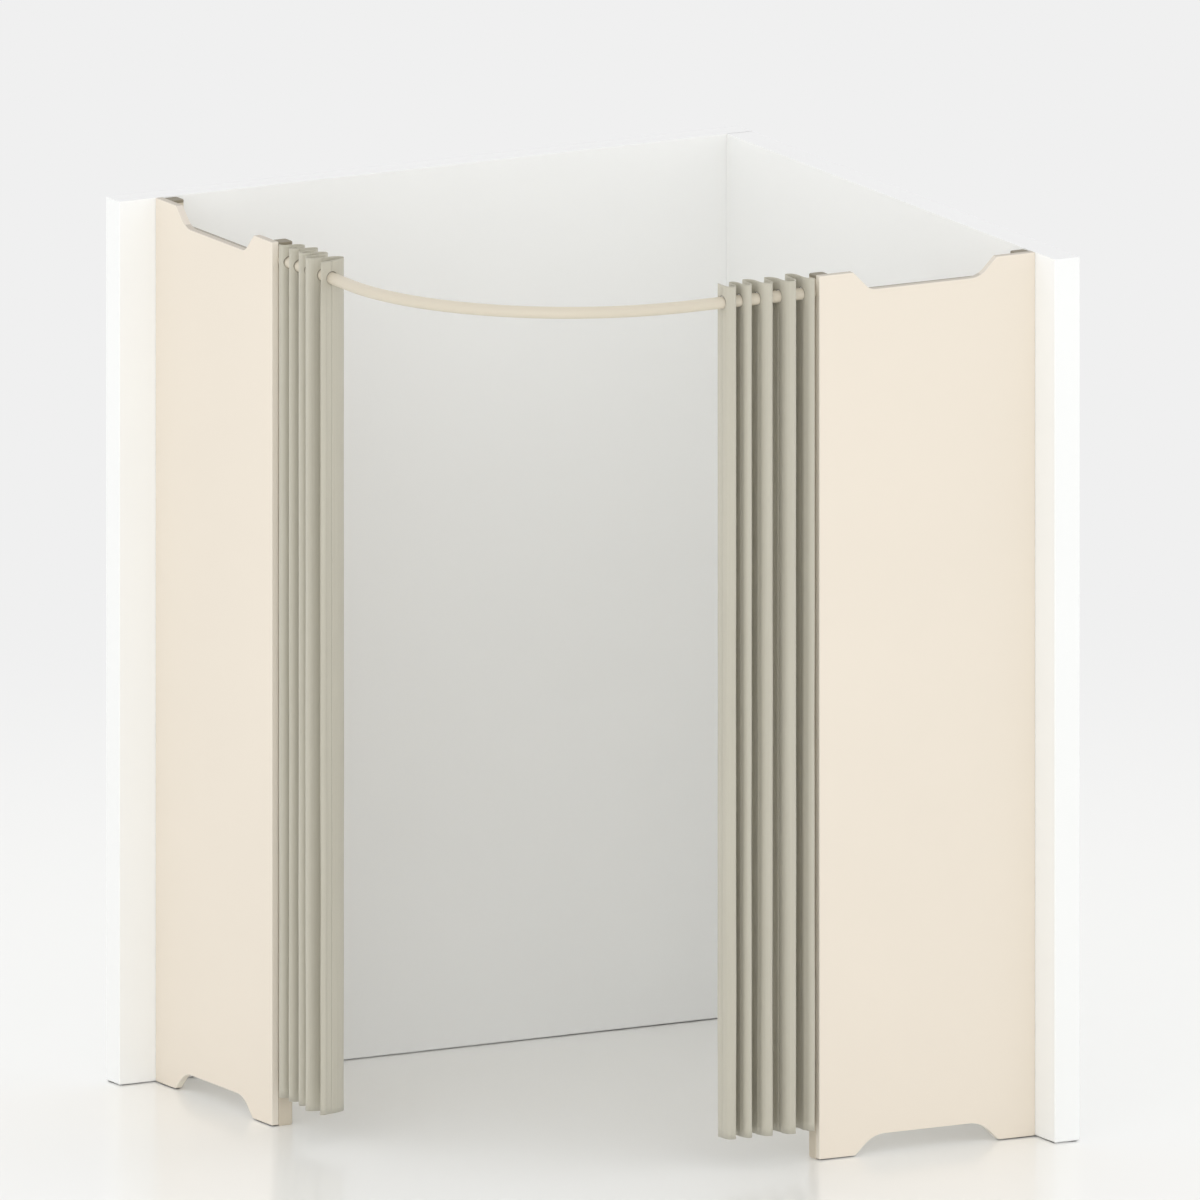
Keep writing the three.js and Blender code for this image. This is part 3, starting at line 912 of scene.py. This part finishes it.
def screw_rings(head_radius, head_height, length):
    """Radii and heights of a screw's rings. Height 0 is the underside of its head, and it grows upwards
    to the top of the head. The dome is a quarter of an ellipse between its rim and its foot."""
    turn = np.linspace(0, 2 * math.pi, SCREW_SIDES, endpoint=False)
    dome = np.linspace(0, math.pi / 2, DOME_STEPS + 1)[:-1]
    shank = head_radius * SHANK
    rim = head_radius * DOME_RIM
    socket = head_radius * SOCKET * hexagon(turn)
    rows = [(0, -length), (shank * TIP, -length + shank), (shank, -length + 2 * shank)]
    rows += [(shank, 0), (head_radius * UNDERSIDE, 0)]
    rows += [(rim + (head_radius - rim) * math.cos(a), head_height * math.sin(a)) for a in dome]
    rows += [(rim, head_height), (socket * CHAMFER, head_height), (socket, head_height * CHAMFER_FOOT)]
    rows += [(socket, head_height * SOCKET_FLOOR), (0, head_height * SOCKET_MIDDLE)]
    radii = np.stack([np.broadcast_to(radius, turn.shape) for radius, _ in rows])
    levels = np.array([level for _, level in rows])
    return radii, levels, turn


print("rings of a screw:", len(screw_rings(1, HEAD_HEIGHT, 1)[1]))

# %% Put the screws and bolts in their places
SCREW_SHARP_TURN = 30


def screw(node, axis, direction):
    """A fastener in the place of its solid. axis is 0 for X and 1 for Y, and direction is 1 where the
    head looks towards the higher end of that axis."""
    low, high = limits(node)
    middle = (low + high) / 2
    head_radius = (high[2] - low[2]) / 2
    length = high[axis] - low[axis]
    head_height = head_radius * HEAD_HEIGHT
    radii, levels, turn = screw_rings(head_radius, head_height, length - head_height)
    top = high[axis] if direction > 0 else low[axis]
    along = top + direction * (levels[:, None] - head_height) + 0 * radii
    sideways = middle[1 - axis] + radii * np.cos(turn)
    upward = middle[2] + radii * np.sin(turn)
    points = np.stack((along, sideways, upward) if axis == 0 else (sideways, along, upward), axis=-1)
    faces = grid_faces(points.shape[0], SCREW_SIDES, False, True).tolist()
    made = piece(f"{node}_turned", points, faces, zinc, SCREW_SHARP_TURN)
    merge_doubles(made, outwards=True)
    made.data.set_sharp_from_angle(angle=math.radians(SCREW_SHARP_TURN))
    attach(made, "booth")
    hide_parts(node)
    return made


def booth_screws():
    """Three corner bolts, and on each side four board screws, two wall screws and the rail's screw."""
    made = [screw(bolt, 1, 1) for bolt in BOLTS]
    for side in SIDES:
        out_axis, along_axis = (0, 1) if side == "left" else (1, 0)
        for end in ("wall", "front"):
            made += [screw(f"{side}_{end}_board_screw_{k}", out_axis, 1) for k in (1, 2)]
        made += [screw(f"{side}_wall_screw_{k}", along_axis, -1) for k in (1, 2)]
        made.append(screw(f"{side}_rail_screw", along_axis, -1))
    return made


screws = booth_screws()
print("screws and bolts:", len(screws))

# %% [markdown]
# ## Curtains
#
# Each curtain is one long strip of cloth, folded to and fro across the rail, which passes through a
# hole in every crossing. Seen from above the cloth follows a line through its turning points. From one
# to the next its distance from the rail follows half a cosine wave, and its progress along the rail
# slows to nothing halfway, so that the cloth crosses the rail squarely and turns in a round loop. Only
# the last swing, at the free end, slows towards its end instead: it runs out in a straight panel. A few
# webs have an upright crease, as cloth has that was stored folded. A cloth simulation could hang the
# curtain, but it wouldn't find these even folds, and a formula keeps every crossing on the rail.
#
# When the curtain is drawn, each crossing travels by itself. So the cloth is cut at the crossings: a
# piece reaches from the middle of one crossing to the middle of the next.

# %% Lay out the folds
FOLD_REACH = 46 * MM
# Turning points from the post to the free edge, as shares: how far along the rail's straight each lies,
# and how far outside the rail (negative: inside it).
CREST_SHARES = {
    "left": (
        (0.057, 0.48), (0.153, -0.63), (0.214, 0.5), (0.277, -0.89), (0.362, 0.52),
        (0.442, -0.8), (0.537, 0.83), (0.625, -1), (0.721, 0.72),
    ),
    "right": (
        (0.043, 0.74), (0.146, -0.91), (0.213, 0.89), (0.329, -0.67), (0.383, 0.72),
        (0.497, -0.74), (0.541, 0.67), (0.616, -0.52), (0.6625, 0.63), (0.716, -0.48),
    ),
}
CRESTS = {side: np.array(shares) * (RAIL_STRAIGHT, FOLD_REACH) for side, shares in CREST_SHARES.items()}
END_POWERS = {"left": 2.2, "right": 6}
HOLE_RADIUS = rail_radius + 0.9 * MM
HOLE_RISE = 0.2 * MM
CLOTH_TOP = limits("left_curtain_fold_1")[1][2]
CLOTH_HEM = limits("left_curtain_fold_1")[0][2]


def swing_share(side, swing, out):
    """How far through a swing the cloth is at this distance from the rail: the half cosine turned round."""
    start, end = CRESTS[side][swing : swing + 2, 1]
    return np.arccos(np.clip(1 - 2 * (out - start) / (end - start), -1, 1)) / math.pi


def on_line(side, swing, share):
    """Station along the rail and distance outside it, for a share of a swing."""
    start, end = CRESTS[side][swing : swing + 2]
    progress = share + np.sin(2 * math.pi * share) / (2 * math.pi)
    if swing == len(CRESTS[side]) - 2:
        progress = 1 - (1 - share) ** END_POWERS[side]
    crossing = (1 - np.cos(math.pi * share)) / 2
    return start[0] + (end[0] - start[0]) * progress, start[1] + (end[1] - start[1]) * crossing


print("swings:", {side: len(crests) - 1 for side, crests in CRESTS.items()})

# %% [markdown]
# A piece's columns are chosen so that the hole comes out round: inside the hole they follow a circle,
# and outside it they are spaced evenly. The rows below the rail stretch from the hem to the hole's lower
# edge, and the rows above from its upper edge to the top. Beside the hole both edges meet, and the two
# halves share their points. One row lies close to the hole, for its stitched binding, and every point
# keeps its distance from the hole's edge as an attribute.

# %% Place the columns
HOLE_STEPS = 8
LOOP_STEPS = 14


def half_loop(side, swing, leaving):
    """Shares of a swing from the crossing to the turning point (leaving), or the other way round. Within
    the hole they follow the sine of even turns, and beyond it they are evenly spaced."""
    towards = CRESTS[side][swing + leaving, 1]
    edge = math.copysign(HOLE_RADIUS, towards)
    turn = np.linspace(0, math.pi / 2, HOLE_STEPS + 1)
    inside = swing_share(side, swing, edge * np.sin(turn))
    outside = np.linspace(inside[-1], 1 if leaving else 0, LOOP_STEPS + 1)[1:]
    shares = np.concatenate((inside, outside))
    return shares if leaving else shares[::-1]


def plan_points(side, halves):
    """Station, distance and swing number of every column of a piece."""
    stations, outs, places = [], [], []
    for swing, leaving in halves:
        shares = half_loop(side, swing, leaving)
        station, out = on_line(side, swing, shares)
        skipped = 1 if stations and not leaving else 0
        stations.append(station[skipped:])
        outs.append(out[skipped:])
        places.append((swing + shares)[skipped:])
    return np.concatenate(stations), np.concatenate(outs), np.concatenate(places)


print("columns of a piece with two half loops:", 2 * (HOLE_STEPS + LOOP_STEPS) + 1)

# %% [markdown]
# Hanging cloth is never quite straight. It sways away from its line a little more the lower it hangs,
# and a crease is a low ridge with a groove beside it. Noise could give the sway, but two long waves are
# calmer, as heavy cloth is.

# %% Let the cloth hang
# Each wave down the cloth: its length in metres, its shift from fold to fold, its share of the phase and
# its height in millimetres.
SWAYS = ((1.35, 0.37, 1, 0.6), (0.52, 0.61, 2, 0.25))
SWAY_START = 30 * MM
SWAY_POWER = 0.7
# One row per swing, in millimetres: how far outside the rail the ridge lies, and how high it is.
CREASES = {
    "left": MM * np.array(((0, 0), (0, 0), (0, 0), (0, 0), (0, 0), (0, 0), (0, 0), (22, 2))),
    "right": MM * np.array(((10, 1), (0, 0), (-6, 1.2), (0, 0), (0, 1.2), (0, 0), (-1, 1.1), (0, 0), (0, 0))),
}
CREASE_WIDTH = 5.5 * MM
CREASE_START = 50 * MM


def sway(place, z, phase):
    """How far the cloth hangs away from its plan line, in metres: two sine waves down the cloth whose
    phase differs from fold to fold, and which grow with the distance below the rail."""
    drop = np.clip((rail_axis_z - SWAY_START - z) / (rail_axis_z - CLOTH_HEM), 0, 1)
    waves = sum(
        size * np.sin(2 * math.pi * (z / length + shift * place + turns * phase))
        for length, shift, turns, size in SWAYS
    )
    return drop**SWAY_POWER * waves * MM


def crease(side, place, out, z):
    """How far the cloth stands out along the rail, in metres: on the webs that have a crease, a low ridge
    with a groove next to it, each a bell curve. It grows to its full height just below the rail hole."""
    swing = np.minimum(place.astype(int), len(CREASES[side]) - 1)
    ridge, size = CREASES[side][swing].T
    beside = (out - ridge) / CREASE_WIDTH
    bells = np.exp(-(beside**2)) - np.exp(-((beside - 2) ** 2))
    return size * bells * np.clip((rail_axis_z - HOLE_RADIUS - z) / CREASE_START, 0, 1)


print("creases:", {side: int(np.count_nonzero(rows[:, 1])) for side, rows in CREASES.items()})

# %% Lay out the rows
ROWS_BELOW = 64
ROWS_ABOVE = 8
HEM = 24 * MM
HEM_STEP = 1.5 * MM


def cloth_points(side, halves, phase):
    """The piece's points in rows from hem to top, their heights, how far along the flat cloth each column
    is, the number of rows below the hole, the columns' stations and the distance from the hole's edge."""
    station, out, place = plan_points(side, halves)
    reach = np.sqrt(np.clip(HOLE_RADIUS**2 - out**2, 0, None))
    middle = rail_axis_z + HOLE_RISE
    below = np.linspace(0, 1, ROWS_BELOW)[:, None]
    above = np.linspace(0, 1, ROWS_ABOVE)[:, None]
    hem_rows = np.array((0, HEM - HEM_STEP))[:, None]
    hem_top = CLOTH_HEM + HEM
    low = hem_top + (middle - reach - BINDING - hem_top) * below
    low = np.vstack((CLOTH_HEM + hem_rows + 0 * reach, low, middle - reach))
    high = middle + reach + BINDING + (CLOTH_TOP - middle - reach - BINDING) * above
    z = np.vstack((low, middle + reach, high))
    hung = station + sway(place, z, phase) + crease(side, place, out, z)
    points = in_room(side, hung, rail_axis_out + out + sway(place + 0.5, z, phase), z)
    steps = np.hypot(np.diff(station), np.diff(out))
    run = np.concatenate(([0], np.cumsum(steps)))
    from_hole = np.hypot(out, z - middle) - HOLE_RADIUS
    return points, z, run, len(low), station, from_hole


def cloth_faces(rows, columns, seam):
    """Quads of the grid, without the row across the hole's slit."""
    faces = grid_faces(rows, columns, False, False).reshape(rows - 1, columns - 1, 4)
    return np.delete(faces, seam - 1, axis=0).reshape(-1, 4)


print("rows of a piece:", ROWS_BELOW + ROWS_ABOVE + 4)

# %% [markdown]
# The flat cloth gets its thickness from a Solidify modifier. A vertex group makes it thicker where the
# hem is turned up, and the UV map holds metres on the flat cloth, for the weave.


# %% Sew one piece
CLOTH_THICKNESS = 1.4 * MM
THIN_SHARE = 0.88
CLOTH_SHARP_TURN = 60


def sew(name, side, halves, phase, run_start):
    """One piece of cloth, its width on the flat cloth and its columns' stations."""
    points, z, run, seam, station, from_hole = cloth_points(side, halves, phase)
    rows, columns = z.shape
    faces = cloth_faces(rows, columns, seam)
    made = piece(name, points, flip(faces.tolist(), side == "right"), curtain_cloth, CLOTH_SHARP_TURN)
    flat = np.stack((np.broadcast_to(run + run_start, z.shape), z), axis=-1).reshape(-1, 2)
    edge = made.data.attributes.new("from_hole", "FLOAT", "POINT")
    edge.data.foreach_set("value", from_hole.ravel())
    write_cloth_map(made, flat)
    merge_doubles(made)
    add_thickness(made)
    return made, run[-1], station


def write_cloth_map(made, flat):
    """The UV map: every corner of a face gets its point's place on the flat cloth."""
    uv = made.data.uv_layers.new(name="cloth")
    corners = np.zeros(len(made.data.loops), int)
    made.data.loops.foreach_get("vertex_index", corners)
    uv.data.foreach_set("uv", flat[corners].ravel())


def add_thickness(made):
    """Solidify, with the full thickness at the hem and a little less elsewhere."""
    places = np.zeros(len(made.data.vertices) * 3)
    made.data.vertices.foreach_get("co", places)
    in_hem = np.nonzero(places[2::3] < CLOTH_HEM + HEM - HEM_STEP / 3)[0]
    group = made.vertex_groups.new(name="hem")
    group.add(range(len(made.data.vertices)), THIN_SHARE, "REPLACE")
    group.add(in_hem.tolist(), 1.0, "REPLACE")
    thick = made.modifiers.new("thickness", "SOLIDIFY")
    thick.thickness = CLOTH_THICKNESS / THIN_SHARE
    thick.offset = 0
    thick.vertex_group = "hem"
    thick.use_even_offset = True


print("cloth thickness", round(CLOTH_THICKNESS / MM, 2), "mm")

# %% [markdown]
# A curtain is sewn piece by piece. A piece with one crossing rides on that crossing's body, and a piece
# with two keeps its place in the room. A cut at every crossing isn't seen, because the two pieces meet
# there edge to edge and the weave runs on.

# %% Hang both curtains
SWAY_PHASES = {"left": 0.13, "right": 0.58}


def fold_body(side, number):
    """The body of a crossing: the first one stays with the booth."""
    return "booth" if number == 1 else f"{side}_fold_{number}"


def curtain(side, phase):
    """All pieces of one curtain, from the post to the free edge: each has the half loop that leads to a
    turning point and the half loop that leads away from it, or one of them at the curtain's ends."""
    swings = len(CRESTS[side]) - 1
    run = 0.0
    for number in range(swings + 1):
        crossings = [k for k in (number, number + 1) if 1 <= k <= swings]
        halves = [(k - 1, k == number) for k in crossings]
        made, width, station = sew(f"{side}_cloth_{number + 1}", side, halves, phase, run)
        run += width
        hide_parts(f"{side}_curtain_fold_{min(number + 1, swings)}")
        if len(crossings) == 1:
            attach(made, fold_body(side, crossings[0]))
        else:
            leaving, arriving = station[HOLE_STEPS], station[-1 - HOLE_STEPS]
            start = in_room(side, leaving, rail_axis_out, rail_axis_z).tolist()
            end = in_room(side, arriving, rail_axis_out, rail_axis_z).tolist()
            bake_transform(made)


for side, phase in SWAY_PHASES.items():
    curtain(side, phase)

# %% [markdown]
# ## Pieces that keep their solid
#
# The paper cores and the spigots inside the rail's ends are right as they are and only need a finish.

# %% Finish the hidden pieces
KEPT = {
    "back_wall_core": core_paper,
    "side_wall_core": core_paper,
    "left_rail_spigot": zinc,
    "right_rail_spigot": zinc,
}
for node, material in KEPT.items():
    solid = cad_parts[node]
    solid.data.materials.clear()
    solid.data.materials.append(material)
print("kept solids:", len(KEPT))

# %% [markdown]
# ## Floor
#
# The booth stands on a pale glossy floor. A photographer would curve paper up behind it. One flat square
# does the same here: far from the booth it turns into the background's own grey, for the camera alone,
# and near the booth it keeps the shadows and the reflection.

# %% Lay the floor
FLOOR_REACH = 30.0
FADE_MIDDLE = 4.2
FADE_WIDTH = 4.0
BACKGROUND = (*linear(240, 240, 240), 1)


def floor_finish():
    """A glossy floor that fades into the background far from the booth, for the camera alone."""
    finish = Finish("floor", Base_Color=(*linear(254, 254, 252), 1), Roughness=0.16)
    distance = finish.node("VectorMath", {"operation": "LENGTH"}, finish.place(), output="Value")
    far = distance.above(FADE_MIDDLE, FADE_WIDTH)
    camera_ray = finish.node("LightPath", {}, output="Is Camera Ray")
    glow = finish.node("Emission", {}, BACKGROUND, 1.0)
    body = Signal(finish, finish.shader.outputs[0])
    mixed = finish.node("MixShader", {}, far * camera_ray, body, glow)
    finish.feed(finish.tree.nodes["Material Output"].inputs[0], mixed)
    return finish.material


floor_corners = np.array(((-1, -1, 0), (-1, 1, 0), (1, 1, 0), (1, -1, 0))) * FLOOR_REACH
floor = piece("floor", floor_corners, [[3, 2, 1, 0]], floor_finish())
print("floor reaches", FLOOR_REACH, "m")

# %% [markdown]
# ## Light
#
# Several lamps could light the booth. A dome is plainer: it shines from everywhere, and under it a
# colour renders about as it is written. It is weaker overhead than at the horizon, so that the inside
# isn't brightest at its open top, and one large lamp in front adds a soft direction. What the camera
# and reflections see of the world is a plain pale grey.

# %% Light the booth
HORIZON_LIGHT = 1.36
ZENITH_LIGHT = 0.76
LAMP_PLACE = Vector((-4.8, -5.2, 2.0))
LAMP_AIM = Vector((0.0, 0.0, 1.1))
LAMP_SIZE = 4.0
LAMP_POWER = 46


def light_world():
    """A dome whose strength falls from the horizon to the zenith, and a plain background in its place for
    the camera and for reflections."""
    world = bpy.data.worlds.new("studio")
    world.use_nodes = True
    bpy.context.scene.world = world
    sky = Graph(world.node_tree)
    direction = sky.node("TexCoord", {}, output="Generated")
    upward = sky.node("SeparateXYZ", {}, direction, output="Z")
    strength = sky.node("MapRange", {}, upward, To_Min=HORIZON_LIGHT, To_Max=ZENITH_LIGHT)
    dome = sky.tree.nodes["Background"]
    sky.feed(dome.inputs["Color"], (1, 1, 1, 1))
    sky.feed(dome.inputs["Strength"], strength)
    seen = sky.node("Background", {}, BACKGROUND)
    camera_ray = sky.node("LightPath", {}, output="Is Camera Ray")
    glossy_ray = sky.node("LightPath", {}, output="Is Glossy Ray")
    either = sky.node("Math", {"operation": "MAXIMUM"}, camera_ray, glossy_ray)
    mixed = sky.node("MixShader", {}, either, Signal(sky, dome.outputs[0]), seen)
    sky.feed(sky.tree.nodes["World Output"].inputs[0], mixed)


def light_softbox():
    """A square area lamp that looks at the middle of the booth."""
    data = bpy.data.lights.new("front_softbox", "AREA")
    data.size = LAMP_SIZE
    data.energy = LAMP_POWER
    lamp = bpy.data.objects.new("front_softbox", data)
    lamp.location = LAMP_PLACE
    lamp.rotation_euler = (LAMP_PLACE - LAMP_AIM).to_track_quat("Z", "Y").to_euler()
    bpy.context.scene.collection.objects.link(lamp)


light_world()
light_softbox()
print("dome:", HORIZON_LIGHT, "at the horizon,", ZENITH_LIGHT, "overhead")
